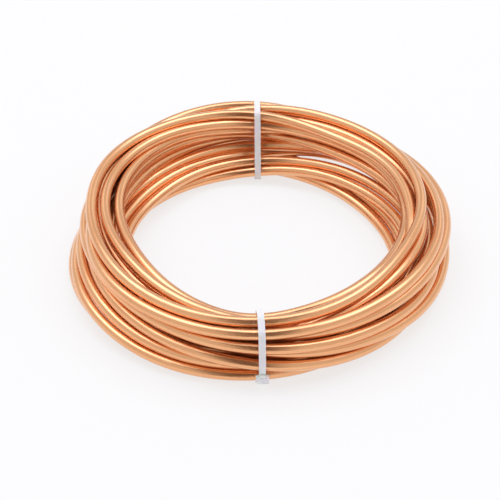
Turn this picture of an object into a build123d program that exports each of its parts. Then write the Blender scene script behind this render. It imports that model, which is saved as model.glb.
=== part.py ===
from build123d import *
import math
import os

# A loose coil of soft bare copper tube that lies flat on the floor, held by two nylon cable ties.
# Millimetres, +Z up. The origin is on the floor at the centre of the coil's eye, the front is -Y.

# Tube
tube_od = 6.35
tube_wall = 0.76

# Coil, measured over the tube where the ties hold it
coil_od = 222.0
bundle_width = 31.80
layers = 6
layer_pitch = 6.20
side_gap = 0.60
inner_lean = 1.80
outer_lean = 1.45
groove_depth = 1.70

# Outer end of the tube, which springs away from the coil at the back and ends in a straight stretch
end_azimuth = 8.0
end_level = 2.5
end_inset = 6.20
end_bend_radius = 260.0
end_bend_angle = 15.5
end_straight = 18.0
end_bore_depth = 16.0

# Cable ties
tie_azimuths = {"front_tie": -90.0, "back_tie": 90.0}
strap_width = 3.60
strap_thickness = 1.20
tie_clearance = 0.30
head_length = 5.20
head_width = 6.80
head_height = 3.40
head_edge = 0.60

# Places that follow from the sizes
tube_r = tube_od / 2
outermost_r = coil_od / 2 - tube_r
innermost_r = coil_od / 2 - bundle_width + tube_r
coil_base = strap_thickness + tie_clearance


def layer_height(layer):
    """Height of the tube centres in a layer, counted from 1 at the floor. A half is between two."""
    return coil_base + tube_r + (layer - 1) * layer_pitch


def layer_seats(layer):
    """Radius and height of each turn of a layer. The bundle gets narrower from layer to layer upwards."""
    inner = innermost_r + (layer - 1) * inner_lean
    outer = outermost_r - (layer - 1) * outer_lean
    gaps = max(1, math.floor((outer - inner) / (tube_od + side_gap)))
    return [(inner + turn * (outer - inner) / gaps, layer_height(layer)) for turn in range(gaps + 1)]


def upright(azimuth):
    """Plane through the coil's axis: x outwards, y up, normal along the turns."""
    turn = math.radians(azimuth)
    outwards = (math.cos(turn), math.sin(turn), 0)
    along = (math.sin(turn), -math.cos(turn), 0)
    return Plane(origin=(0, 0, 0), x_dir=outwards, z_dir=along)


def bundle_outline(cover):
    """Outline drawn tight round all the turns, standing off them by cover."""
    rings = []
    for layer in range(1, layers + 1):
        for radius, height in layer_seats(layer):
            rings.append(Pos(radius, height) * Edge.make_circle(tube_r + cover))
    return make_hull(rings)


def outer_end():
    """The tube's last stretch: a bend that opens away from the coil, then a straight hollow end."""
    height = layer_height(end_level)
    start_r = outermost_r - end_inset
    leaving = math.radians(end_azimuth)
    centre_r = start_r - end_bend_radius
    centre = Vector(centre_r * math.cos(leaving), centre_r * math.sin(leaving), 0)
    ring = upright(end_azimuth) * Pos(start_r, height) * Circle(tube_r)
    bend = revolve(ring, axis=Axis(centre, (0, 0, 1)), revolution_arc=end_bend_angle)

    facing = math.radians(end_azimuth + end_bend_angle)
    reach = Vector(math.cos(facing), math.sin(facing), 0) * end_bend_radius
    straight_start = centre + reach + Vector(0, 0, height)
    straight_plane = Plane(origin=straight_start, z_dir=(-math.sin(facing), math.cos(facing), 0))
    from_start = (Align.CENTER, Align.CENTER, Align.MIN)
    straight = straight_plane * Cylinder(tube_r, end_straight, align=from_start)
    bore_start = Pos(0, 0, end_straight - end_bore_depth)
    bore = straight_plane * bore_start * Cylinder(tube_r - tube_wall, end_bore_depth, align=from_start)
    return bend + (straight - bore)


def tube_coil():
    """One turned solid: a core with the turns standing out of it, and the tube's outer end."""
    section = bundle_outline(-groove_depth)
    for layer in range(1, layers + 1):
        for radius, height in layer_seats(layer):
            section += Pos(radius, height) * Circle(tube_r)
    return revolve(upright(0) * section, axis=Axis.Z, revolution_arc=360) + outer_end()


def cable_tie(azimuth):
    """A strap drawn round the bundle, with its head low on the outside."""
    outside = bundle_outline(tie_clearance + strap_thickness)
    inside = bundle_outline(tie_clearance)
    strap = extrude(upright(azimuth) * (outside - inside), strap_width / 2, both=True)

    low = Vector(*layer_seats(1)[-1])
    high = Vector(*layer_seats(2)[-1])
    along = (high - low).normalized()
    outwards = Vector(along.Y, -along.X)
    seat = (low + high) / 2 + outwards * (tube_r + tie_clearance + strap_thickness / 2)
    head_plane = upright(azimuth) * Plane(
        origin=(seat.X, seat.Y, 0), x_dir=(along.X, along.Y, 0), z_dir=(outwards.X, outwards.Y, 0)
    )
    head_rise = head_height + strap_thickness / 2
    head = Box(head_length, head_width, head_rise, align=(Align.CENTER, Align.CENTER, Align.MIN))
    head = fillet(head.edges().filter_by(Axis.Z), head_edge)
    head = chamfer(head.faces().sort_by(Axis.Z)[-1].edges(), head_edge / 2)
    return strap + head_plane * head


os.makedirs("parts", exist_ok=True)
export_step(tube_coil(), "parts/tube_coil.step")
for name, azimuth in tie_azimuths.items():
    export_step(cable_tie(azimuth), "parts/" + name + ".step")
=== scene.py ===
import math
from itertools import combinations

import bmesh
import bpy
import numpy as np
from mathutils import Matrix, Vector


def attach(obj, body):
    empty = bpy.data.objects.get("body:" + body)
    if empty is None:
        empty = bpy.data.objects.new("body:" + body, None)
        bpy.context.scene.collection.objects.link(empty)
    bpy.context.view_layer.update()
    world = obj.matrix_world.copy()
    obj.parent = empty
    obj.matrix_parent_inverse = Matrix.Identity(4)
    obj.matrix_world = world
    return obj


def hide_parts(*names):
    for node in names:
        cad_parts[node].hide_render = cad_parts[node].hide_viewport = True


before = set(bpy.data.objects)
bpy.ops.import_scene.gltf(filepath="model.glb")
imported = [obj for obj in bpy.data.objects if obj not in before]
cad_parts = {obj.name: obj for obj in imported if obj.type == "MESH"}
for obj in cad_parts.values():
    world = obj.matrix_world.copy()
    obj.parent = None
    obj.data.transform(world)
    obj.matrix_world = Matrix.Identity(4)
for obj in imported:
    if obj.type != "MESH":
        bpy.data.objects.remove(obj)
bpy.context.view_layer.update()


# Camera
# The photograph is taken from about 0.9 m in front of the coil, looking down at 38 degrees with a long lens,
# so the coil shows as a wide ellipse with little perspective.
camera_place = (0.0, -0.7200, 0.5917)
camera_target = (-0.0059, -0.0068, 0.0105)
focal_length = 112.6
sensor_width = 36.0


def place_and_aim(thing, place, target):
    """Puts a camera or a lamp at its place in the scene and turns it to its target."""
    holder = bpy.data.objects.new(thing.name, thing)
    bpy.context.collection.objects.link(holder)
    holder.location = place
    holder.rotation_euler = (Vector(target) - holder.location).to_track_quat("-Z", "Y").to_euler()
    return holder


camera = bpy.data.cameras.new("camera")
camera.lens = focal_length
camera.sensor_width = sensor_width
bpy.context.scene.camera = place_and_aim(camera, camera_place, camera_target)

# Copper tube coil
# One length of soft-drawn 1/4 inch copper tube, wound by hand into a loose coil of some seventeen turns.
# The turns cross over and under each other between the two ties. The tube's outer end springs away at the
# back right, where the straight end stays free for a fitting; the inner end is lost among the turns.

# Sizes are in millimetres. MM makes them metres, and points nearer than weld_distance, in metres, are merged.
MM = 0.001
weld_distance = 2e-6
tube_r = 6.35 / 2
tube_wall = 0.76
bore_depth = 16.0
mouth_edge = 0.15
mouth_closed_r = 0.001
tube_sides = 24
turn_clearance = 0.12
strap_thickness = 1.20
tie_clearance = 0.30
lowest_seat = strap_thickness + tie_clearance + tube_r

# The outer end's straight stretch lies where the CAD model has it.
end_straight = 18.0
end_tip = np.array([74.42, 98.14, 13.98])
end_root = np.array([81.60, 81.63, 13.98])

# Seats of the turns: radius and height of the tube's centre in mm, every 30 degrees round from the front
# tie by the left, back and right, chosen from the photograph. The lead is the stretch before them,
# from the outer end to the front tie.
outer_lead = [(106.4, 14), (102.0, 13.8), (104.2, 14.5), (105.2, 21.5)]
turns = [
    [(108, 25), (103, 25), (100.5, 26.5), (101.5, 26.5), (103.5, 23), (107.5, 26.5),
     (102.5, 36), (99, 37.7), (97.7, 38), (93.5, 39), (89, 39), (95.5, 37)],
    [(98, 35), (99, 35), (97.5, 37), (98, 38), (100.4, 38.3), (98.5, 36),
     (95, 36), (86, 34.5), (87.5, 36.3), (86.5, 35.5), (90.5, 28), (91, 24.6)],
    [(93.5, 29.5), (90, 34), (86.5, 36), (91, 36.5), (94.5, 36), (95.5, 34.5),
     (94, 29.8), (90, 29.5), (88.5, 30.3), (85.5, 29.2), (84.2, 33.4), (86.6, 32.9)],
    [(89.5, 27.3), (84.5, 30.9), (79, 34), (82, 34), (88.5, 32.5), (97, 28.2),
     (95.3, 24.3), (101, 22.5), (108.5, 20.6), (108.5, 9), (107.3, 9.5), (105, 15)],
    [(103.5, 20.5), (99, 20), (94.5, 23), (91.5, 12), (86, 13), (92, 13.3),
     (95, 13.9), (92.5, 20), (95.5, 22.5), (98.5, 25), (99, 26), (100, 20)],
    [(100, 15), (101, 13), (100, 12), (98, 12), (96.5, 14), (104.5, 15.5),
     (110.5, 14.5), (106, 14.5), (100, 13), (98.5, 18.8), (99, 19), (94.5, 11.5)],
    [(94.2, 10.6), (88, 4.7), (86, 4.7), (86.5, 4.7), (80.7, 4.7), (78, 4.7),
     (77.3, 7), (77, 10.5), (80.5, 13), (86.5, 15.5), (93, 9), (99.5, 5)],
    [(105.8, 4.7), (110.9, 5.5), (111.9, 10.7), (106.5, 11), (101, 10.5), (93, 4.9),
     (82, 4.7), (76.3, 4.7), (75.1, 4.7), (79.5, 4.7), (86, 4.7), (91, 4.7)],
    [(94.5, 4.7), (102, 4.7), (110, 4.7), (109.9, 4.7), (103.5, 4.7), (102, 4.7),
     (100.5, 4.7), (84.5, 4.8), (80.5, 6.2), (84.5, 9.5), (87.5, 11), (88, 11)],
    [(88, 11), (85, 10.7), (81, 10.7), (81.5, 11), (78.8, 10), (80, 9.5),
     (80.5, 10.3), (83, 14), (86.5, 16), (93, 17.5), (89, 17.5), (88.5, 17)],
    [(88, 17.5), (84, 16.3), (82, 17), (85.2, 11.3), (84.2, 11.8), (84, 11.6),
     (94, 7), (97.5, 13.5), (93, 16.5), (97, 12.5), (98.5, 12), (100.5, 11)],
    [(104, 10), (108, 11), (106.5, 15.5), (104.3, 17), (102.5, 16.5), (106, 9.5),
     (107.5, 8), (107.5, 7), (106, 5.5), (102.5, 4.7), (101.5, 4.7), (106.5, 7.5)],
    [(109, 14.5), (106.5, 18.5), (101.5, 20.5), (98, 21), (98, 20.5), (104, 21.5),
     (105.5, 26), (105, 30), (104, 31), (104, 32), (103, 33.5), (103, 32.5)],
    [(104, 31), (103.5, 31.7), (103, 32.5), (95.6, 31), (103.3, 29.5), (110.9, 31.9),
     (110.8, 33.7), (106.5, 26), (110.7, 25.5), (108.5, 27.5), (104, 27.5), (101.5, 26.5)],
    [(99.5, 27.5), (94, 29), (88.5, 30.5), (95, 31), (101.5, 32.5), (101.5, 33),
     (100, 31), (93.5, 33.5), (95, 32.5), (94.3, 32), (93.5, 34), (95.5, 31.5)],
    [(95.5, 23), (92, 23), (87.5, 24.5), (85, 26.5), (89, 25), (98, 23.5),
     (98.5, 20), (86.6, 22.5), (88, 24), (90, 23), (94, 20.5), (94.5, 18.5)],
    [(94, 16.5), (90, 18), (88, 18), (87.5, 19.5), (88, 19.5), (98, 17.5),
     (103.5, 15.5)],
]
front_angle = -90
seats_per_turn = 12
steps_per_seat = 15
steps_per_turn = seats_per_turn * steps_per_seat
first_step = (seats_per_turn - len(outer_lead)) * steps_per_seat
straight_steps = 8
bend_steps = 12

# How the turns settle: the share of the way to the second seat that stays where it is, how strong a push is,
# and for each stage its rounds, how widely a push is spread along the tube, and the pull back to the seats.
joined_seats = 0.7
push_strength = 1.2
stages = ((200, 10, 0.02), (40, 4, 0.02), (80, 4, 0.0), (80, 1, 0.0))
smoothing_rounds = 60

# Stands for no tube at a place: a radius and height far outside the coil.
far_off = 1e4


def smooth_line(seats):
    """A smooth line through the seats, with equal steps from each seat to the next."""
    seats = np.array(seats, float)
    seats = np.vstack([2 * seats[0] - seats[1], seats, 2 * seats[-1] - seats[-2]])
    line = []
    for a, b, c, d in zip(seats, seats[1:], seats[2:], seats[3:]):
        slope = c - a
        bend = 2 * a - 5 * b + 4 * c - d
        twist = 3 * b - a - 3 * c + d
        for step in range(steps_per_seat):
            u = step / steps_per_seat
            line.append(0.5 * (2 * b + slope * u + bend * u**2 + twist * u**3))
    return np.array(line + [seats[-2]])


def by_turn(line):
    """The line cut into turns, so that a column holds every pass of one place. Far-off rows fill it up."""
    after = -(first_step + len(line)) % steps_per_turn
    filled = np.vstack([np.full((first_step, 2), far_off), line, np.full((after, 2), 2 * far_off)])
    return filled.reshape(-1, steps_per_turn, 2)


def push_apart(line):
    """How far each row of the line has to move to stand clear of the other turns at its place."""
    spacing = 2 * tube_r + turn_clearance
    passes = by_turn(line)
    push = np.zeros_like(passes)
    for i, j in combinations(range(len(passes)), 2):
        apart = passes[j] - passes[i]
        distance = np.maximum(np.hypot(apart[:, 0], apart[:, 1]), 1e-6)[:, None]
        shove = np.clip(spacing - distance, 0, None) * apart / distance / 2
        push[i] -= shove
        push[j] += shove
    return push.reshape(-1, 2)[first_step : first_step + len(line)]


def smoothed(line):
    """The line's rows without the first and last, each averaged with its neighbours."""
    return (line[:-2] + 2 * line[1:-1] + line[2:]) / 4


def settle(line):
    """Pushes turns that run into each other apart, gently along the tube, as they lie in the real coil."""
    wanted = line.copy()
    # 0 at the start, where the outer end joins on, and 1 where the tube is free to move.
    free = np.clip(np.arange(len(line)) / steps_per_seat - joined_seats, 0, 1)[:, None]
    for rounds, spread, pull in stages:
        for _ in range(rounds):
            push = push_apart(line)
            for _ in range(spread):
                push[1:-1] = smoothed(push)
            line = line + free * (push_strength * push + pull * (wanted - line))
            line[:, 1] = np.maximum(line[:, 1], lowest_seat)
    # The tube takes no sharp bends, so what is left of them is smoothed out.
    for _ in range(smoothing_rounds):
        line[1:-1] += free[1:-1] * (smoothed(line) - line[1:-1])
    return line


settled = settle(smooth_line(outer_lead + [seat for turn in turns for seat in turn]))
angles = np.radians(front_angle - (first_step + np.arange(len(settled))) * 360 / steps_per_turn)
ring_path = np.column_stack([settled[:, 0] * np.cos(angles), settled[:, 0] * np.sin(angles), settled[:, 1]])

# A wide bend joins the straight end to the first turn.
straight_part = [end_tip + (end_root - end_tip) * step / straight_steps for step in range(straight_steps)]
reach = np.linalg.norm(ring_path[0] - end_root)
end_way = (end_root - end_tip) / end_straight
coil_way = (ring_path[1] - ring_path[0]) / np.linalg.norm(ring_path[1] - ring_path[0])
leaving = end_root + end_way * reach / 3
arriving = ring_path[0] - coil_way * reach / 3
bend_part = []
for step in range(bend_steps):
    u = step / bend_steps
    start = (1 - u) ** 3 * end_root + 3 * (1 - u) ** 2 * u * leaving
    bend_part.append(start + 3 * (1 - u) * u**2 * arriving + u**3 * ring_path[0])
tube_path = np.vstack([straight_part, bend_part, ring_path])


def lengths_along(line):
    """The length of the line from its start to each of its rows."""
    return np.concatenate([[0], np.cumsum(np.linalg.norm(np.diff(line, axis=0), axis=1))])


def read_at(places, lengths, line):
    """The line's rows at these lengths from its start."""
    return np.column_stack([np.interp(places, lengths, column) for column in line.T])


def unit(ways):
    """Each row made one long."""
    return ways / np.linalg.norm(ways, axis=1)[:, None]


def smooth_skin(shape):
    """Turns the faces outwards and shades them smooth."""
    bmesh.ops.recalc_face_normals(shape, faces=shape.faces)
    for face in shape.faces:
        face.smooth = True


def roll_tube(path):
    """A flat sheet rolled up into a tube along the path, with the wall's end face and a bore at each end."""
    bore_r = tube_r - tube_wall
    # Length from the end and radius, from the bottom of the bore round the wall's end face to the outside.
    mouth = [
        (bore_depth, mouth_closed_r),
        (bore_depth, bore_r),
        (mouth_edge, bore_r),
        (0.0, bore_r + mouth_edge),
        (0.0, tube_r - mouth_edge),
        (mouth_edge, tube_r),
    ]
    lengths = lengths_along(path)
    other_mouth = [(lengths[-1] - length, radius) for length, radius in reversed(mouth)]
    rows = np.array(mouth + [(length, tube_r) for length in lengths[1:-1]] + other_mouth)
    centre = read_at(rows[:, 0], lengths, path)
    way = unit(read_at(rows[:, 0], lengths, np.gradient(path, lengths, axis=0)))
    outwards = centre * (1, 1, 0)
    outwards = unit(outwards - way * np.sum(outwards * way, axis=1)[:, None])
    across = np.cross(way, outwards)

    sheet = bmesh.new()
    uv = sheet.loops.layers.uv.new("tube")
    bmesh.ops.create_grid(sheet, x_segments=len(rows) - 1, y_segments=tube_sides, size=0.5)
    for vertex in sheet.verts:
        row = round((vertex.co.x + 0.5) * (len(rows) - 1))
        turn = vertex.co.y + 0.5
        for loop in vertex.link_loops:
            loop[uv].uv = (rows[row, 0] * MM, turn)
        side = math.cos(turn * math.tau) * outwards[row] + math.sin(turn * math.tau) * across[row]
        vertex.co = Vector((centre[row] + rows[row, 1] * side) * MM)
    bmesh.ops.remove_doubles(sheet, verts=sheet.verts, dist=weld_distance)
    smooth_skin(sheet)
    return sheet


def add_piece(name, shape, material):
    """Makes an object of a finished shape."""
    mesh = bpy.data.meshes.new(name)
    shape.to_mesh(mesh)
    shape.free()
    mesh.materials.append(material)
    piece = bpy.data.objects.new(name, mesh)
    bpy.context.collection.objects.link(piece)
    return piece


class Socket:
    """A node's output that Python's own arithmetic works on."""

    def __init__(self, tree, output):
        self.tree = tree
        self.output = output

    def sibling(self, name):
        """Another output of the same node."""
        return Socket(self.tree, self.output.node.outputs[name])

    def math(self, operation, *others):
        """A Math node on this value and the others."""
        values = dict(enumerate((self, *others)))
        return add_node(self.tree, "ShaderNodeMath", {"operation": operation}, values)

    def __add__(self, other):
        return self.math("ADD", other)

    def __sub__(self, other):
        return self.math("SUBTRACT", other)

    def __rsub__(self, other):
        return add_node(self.tree, "ShaderNodeMath", {"operation": "SUBTRACT"}, {0: other, 1: self})

    def __mul__(self, other):
        return self.math("MULTIPLY", other)

    def __truediv__(self, other):
        return self.math("DIVIDE", other)

    __radd__ = __add__
    __rmul__ = __mul__

    def clamp(self):
        """The value kept between 0 and 1."""
        return self.math("MINIMUM", 1.0).math("MAXIMUM", 0.0)


def add_node(tree, kind, settings, values, output=0):
    """Adds a node: its settings first, then a value or a link for each named or numbered input."""
    node = tree.nodes.new(kind)
    for name, value in settings.items():
        setattr(node, name, value)
    for name, value in values.items():
        if isinstance(value, Socket):
            tree.links.new(value.output, node.inputs[name])
        else:
            node.inputs[name].default_value = value
    return Socket(tree, node.outputs[output]) if node.outputs else None


def mix_colours(tree, factor, first, second):
    """The first colour where the factor is 0, and the second where it is 1."""
    first_input, second_input, colour_output = 6, 7, 2
    values = {"Factor": factor, first_input: (*first, 1), second_input: (*second, 1)}
    return add_node(tree, "ShaderNodeMix", {"data_type": "RGBA"}, values, colour_output)


def new_material(name):
    """An empty material and its node tree."""
    material = bpy.data.materials.new(name)
    material.use_nodes = True
    material.node_tree.nodes.clear()
    return material, material.node_tree


def drawn_copper():
    """Bright soft copper, with fine streaks along the tube, faint stains and a thin film of drawing oil."""
    darker, brighter = (0.88, 0.40, 0.17), (0.96, 0.52, 0.255)
    copper, tree = new_material("copper")
    # The tube's flat map is rolled up again, so that the patterns have no seam along the tube.
    uv_map = add_node(tree, "ShaderNodeUVMap", {"uv_map": "tube"}, {})
    along = add_node(tree, "ShaderNodeSeparateXYZ", {}, {"Vector": uv_map}, "X")
    turn = along.sibling("Y") * math.tau
    side_x = turn.math("COSINE") * (tube_r * MM)
    side_y = turn.math("SINE") * (tube_r * MM)
    place = add_node(tree, "ShaderNodeCombineXYZ", {}, {"X": side_x, "Y": side_y, "Z": along})
    drawn = add_node(tree, "ShaderNodeVectorMath", {"operation": "MULTIPLY"}, {0: place, 1: (1.0, 1.0, 0.02)})

    streak_sockets = {"Vector": drawn, "Scale": 1500.0, "Detail": 3.0, "Roughness": 0.6}
    streaks = add_node(tree, "ShaderNodeTexNoise", {}, streak_sockets)
    stain = add_node(tree, "ShaderNodeTexNoise", {}, {"Vector": place, "Scale": 28.0, "Detail": 3.0})
    tone = mix_colours(tree, (streaks * 1.3 + stain * 1.1 - 0.7).clamp(), darker, brighter)
    grain = add_node(tree, "ShaderNodeBump", {}, {"Strength": 0.55, "Distance": 0.0002, "Height": streaks})
    sockets = {
        "Base Color": tone,
        "Metallic": 0.88,
        "Roughness": 0.10 + streaks * 0.12 + stain * 0.06,
        "Coat Weight": 0.7,
        "Coat Roughness": 0.12,
        "Normal": grain,
    }
    shader = add_node(tree, "ShaderNodeBsdfPrincipled", {}, sockets)
    add_node(tree, "ShaderNodeOutputMaterial", {}, {"Surface": shader})
    return copper


coil = add_piece("copper_coil", roll_tube(tube_path), drawn_copper())
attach(coil, "root")
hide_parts("tube_coil")

# Cable ties
# Two natural nylon cable ties are drawn tight round all the turns, one in front and one at the back. Each is
# one moulding: a thin strap, and low on the outside the ratchet head that its trimmed tail passes through.
# The front one leans: further out, it stands further to the side.
strap_width = 3.8
# 1 makes the strap's cross-section round, and 0 makes it square.
strap_corner = 0.35
head_length, head_width, head_rise, head_soft = 4.8, 7.2, 3.0, 0.6
head_height = 8.2
outer_side_r = 100
tail_length, tail_width, tail_thickness, tail_soft = 6.2, 3.5, 1.1, 0.2
tail_rise, tail_shift = 2.5, 0.4
# The lean is nothing at the first radius and full at the second.
lean_start_r, lean_full_r = 84, 110
loop_steps = 160
section_steps = 20


def hull(points):
    """The points of the tightest loop round them all, anticlockwise."""
    points = sorted(map(tuple, points))
    loop = []
    for run in (points, points[::-1]):
        start = len(loop)
        for p in run:
            while len(loop) >= start + 2:
                a, b = loop[-2], loop[-1]
                if (b[0] - a[0]) * (p[1] - a[1]) - (b[1] - a[1]) * (p[0] - a[0]) > 0:
                    break
                loop.pop()
            loop.append(p)
        loop.pop()
    return loop


def strap_loop(angle_from_front):
    """The strap's inner side, evenly stepped: a tight loop round the turns, as radius and height."""
    place = round(angle_from_front / 360 * steps_per_turn)
    steps = [step % steps_per_turn for step in range(place - 2, place + 3)]
    centres = [turn[step] for turn in by_turn(settled) for step in steps if turn[step][0] < far_off]
    circle = [(math.cos(math.radians(a)), math.sin(math.radians(a))) for a in range(0, 360, 10)]
    stand_off = tube_r + tie_clearance
    loop = hull([(r + stand_off * x, z + stand_off * y) for r, z in centres for x, y in circle])
    loop = np.array(loop + loop[:1])
    lengths = lengths_along(loop)
    return read_at(np.linspace(0, lengths[-1], loop_steps, endpoint=False), lengths, loop)


def strap_section(angle):
    """A point of the strap's cross-section, a square with soft corners, from -1 to 1 each way."""
    return [math.copysign(abs(part) ** strap_corner, part) for part in (math.cos(angle), math.sin(angle))]


def make_tie(angle_from_front, lean):
    """A strap round all the turns, leaning to the side on the outside, with its head and tail."""
    loop = strap_loop(angle_from_front)
    ahead = unit(np.roll(loop, -2, axis=0) - np.roll(loop, 2, axis=0))
    turn = math.radians(front_angle - angle_from_front)
    outwards = Vector((math.cos(turn), math.sin(turn), 0))
    across = Vector((-math.sin(turn), math.cos(turn), 0))

    def point(row, side, rise):
        """A point by the strap: this far to the side, and this far off the strap's inner face."""
        row %= loop_steps
        r, z = loop[row] + np.array([ahead[row][1], -ahead[row][0]]) * rise
        side += lean * (r - lean_start_r) / (lean_full_r - lean_start_r)
        return (outwards * r + across * side + Vector((0, 0, z))) * MM

    # The strap is a flat sheet rolled up to its cross-section, and joined end to end.
    tie = bmesh.new()
    bmesh.ops.create_grid(tie, x_segments=loop_steps, y_segments=section_steps, size=0.5)
    for vertex in tie.verts:
        row = round((vertex.co.x + 0.5) * loop_steps)
        x, y = strap_section((vertex.co.y + 0.5) * math.tau)
        vertex.co = point(row, x * strap_width / 2, (y + 1) * strap_thickness / 2)
    bmesh.ops.remove_doubles(tie, verts=tie.verts, dist=weld_distance)

    outside = [row for row in range(loop_steps) if loop[row][0] >= outer_side_r]
    seat = min(outside, key=lambda row: abs(loop[row][1] - head_height))
    up = (point(seat + 2, 0, 0) - point(seat - 2, 0, 0)).normalized()
    turned = Matrix((across, up, across.cross(up).normalized())).transposed().to_4x4()

    def add_block(size, rise, shift, soft):
        """Adds a soft-edged block at the seat, this far off the strap's inner face and shifted upwards."""
        place = Matrix.Translation(point(seat, 0, rise) + up * shift * MM)
        shape = Matrix.Diagonal((*(Vector(size) * MM), 1))
        block = bmesh.ops.create_cube(tie, size=1.0, matrix=place @ turned @ shape)
        edges = list(dict.fromkeys(edge for vertex in block["verts"] for edge in vertex.link_edges))
        bmesh.ops.bevel(
            tie, geom=edges, offset=soft * MM, segments=3, affect="EDGES", profile=0.5, material=-1
        )

    # The head sits on the strap, and the tail's cut end looks out of the head's upper side.
    add_block((head_width, head_length, head_rise), (strap_thickness + head_rise) / 2, 0.0, head_soft)
    add_block((tail_width, tail_length, tail_thickness), tail_rise, tail_shift, tail_soft)
    smooth_skin(tie)
    return tie


def natural_nylon():
    """White nylon as it comes from the mould: a little see-through, with faint clouds and a satin skin."""
    darker, brighter = (0.90, 0.91, 0.93), (0.96, 0.965, 0.97)
    nylon, tree = new_material("nylon")
    place = add_node(tree, "ShaderNodeTexCoord", {}, {}, "Object")
    clouds = add_node(tree, "ShaderNodeTexNoise", {}, {"Vector": place, "Scale": 350.0, "Detail": 3.0})
    bump = add_node(tree, "ShaderNodeBump", {}, {"Strength": 0.15, "Distance": 0.0001, "Height": clouds})
    sockets = {
        "Base Color": mix_colours(tree, clouds, darker, brighter),
        "Roughness": clouds * 0.15 + 0.32,
        "Subsurface Weight": 0.3,
        "Subsurface Scale": 0.001,
        "IOR": 1.53,
        "Normal": bump,
    }
    shader = add_node(tree, "ShaderNodeBsdfPrincipled", {}, sockets)
    add_node(tree, "ShaderNodeOutputMaterial", {}, {"Surface": shader})
    return nylon


nylon = natural_nylon()
for name, node, angle_from_front, lean in (
    ("cable_tie_front", "front_tie", 0.25, 1.9),
    ("cable_tie_back", "back_tie", 178.7, 0),
):
    tie = add_piece(name, make_tie(angle_from_front, lean), nylon)
    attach(tie, "root")
    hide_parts(node)

# Studio
# A white floor and soft light from above and behind, as for a catalogue picture. The camera's side is darker,
# which gives the copper its dark bands between the highlights.
floor_half_width = 3.0
white_share = 0.72
strip_place, strip_target = (0.0, 0.60, 1.08), (0, 0, 0.02)
# How far the dark wall reaches to the sides, squared, and how softly it ends, for directions one long.
wall_width, wall_edge = 0.14, 0.3
wall_darkness = (0.79, 0.845, 0.86)

floor_paint, tree = new_material("floor_paint")
paint = add_node(tree, "ShaderNodeBsdfDiffuse", {}, {"Color": (0.93, 0.93, 0.93, 1)})
white = add_node(tree, "ShaderNodeEmission", {}, {"Color": (1, 1, 1, 1), "Strength": 1.0})
seen = add_node(tree, "ShaderNodeLightPath", {}, {}, "Is Camera Ray")
mirrored = seen.sibling("Is Glossy Ray") + seen.sibling("Is Transmission Ray")
plain_white = (seen + mirrored).clamp() * white_share
shader = add_node(tree, "ShaderNodeMixShader", {}, {0: plain_white, 1: paint, 2: white})
add_node(tree, "ShaderNodeOutputMaterial", {}, {"Surface": shader})
floor_shape = bmesh.new()
bmesh.ops.create_grid(floor_shape, x_segments=1, y_segments=1, size=floor_half_width)
floor = add_piece("floor", floor_shape, floor_paint)

strip_light = bpy.data.lights.new("back_strip", "AREA")
strip_light.shape = "RECTANGLE"
strip_light.size = 1.2
strip_light.size_y = 0.16
strip_light.energy = 0.62
place_and_aim(strip_light, strip_place, strip_target)

room = bpy.data.worlds.new("studio")
bpy.context.scene.world = room
room.use_nodes = True
room_tree = room.node_tree
room_tree.nodes.clear()
direction = add_node(room_tree, "ShaderNodeTexCoord", {}, {}, "Generated")


def lobe(azimuth, elevation, spread):
    """1 towards this side of the room, falling softly to 0 at spread degrees off. Azimuth 0 is the back."""
    flat = math.cos(math.radians(elevation))
    way = (
        math.sin(math.radians(azimuth)) * flat,
        math.cos(math.radians(azimuth)) * flat,
        math.sin(math.radians(elevation)),
    )
    sockets = {0: direction, 1: way}
    near = add_node(room_tree, "ShaderNodeVectorMath", {"operation": "DOT_PRODUCT"}, sockets, "Value")
    edge = math.cos(math.radians(spread))
    part = ((near - edge) / (1 - edge)).clamp()
    return part * part * (3.0 - part * 2.0)


# Two soft lamps overhead, slightly blue, two fainter ones low at the back with a duller patch between them,
# and a dark wall behind the camera.
sideways = add_node(room_tree, "ShaderNodeSeparateXYZ", {}, {"Vector": direction}, "X")
overhead = lobe(-52, 64, 26) + lobe(52, 64, 26)
low = lobe(-27, 29, 13) + lobe(27, 29, 13)
shade = 0.90 + overhead * 2.4 + low * 0.5 - lobe(0, 24, 24) * 0.14
behind = (0.5 - sideways.sibling("Y") / wall_edge).clamp()
dark_wall = (1.0 - sideways * sideways / wall_width).clamp() * behind
red, green, blue = (shade - dark_wall * darkness for darkness in wall_darkness)
glow = add_node(room_tree, "ShaderNodeCombineColor", {}, {0: red, 1: green, 2: blue + overhead * 0.45})
lit = add_node(room_tree, "ShaderNodeBackground", {}, {"Color": glow, "Strength": 0.82})
add_node(room_tree, "ShaderNodeOutputWorld", {}, {"Surface": lit})
bpy.context.scene.view_settings.view_transform = "Standard"
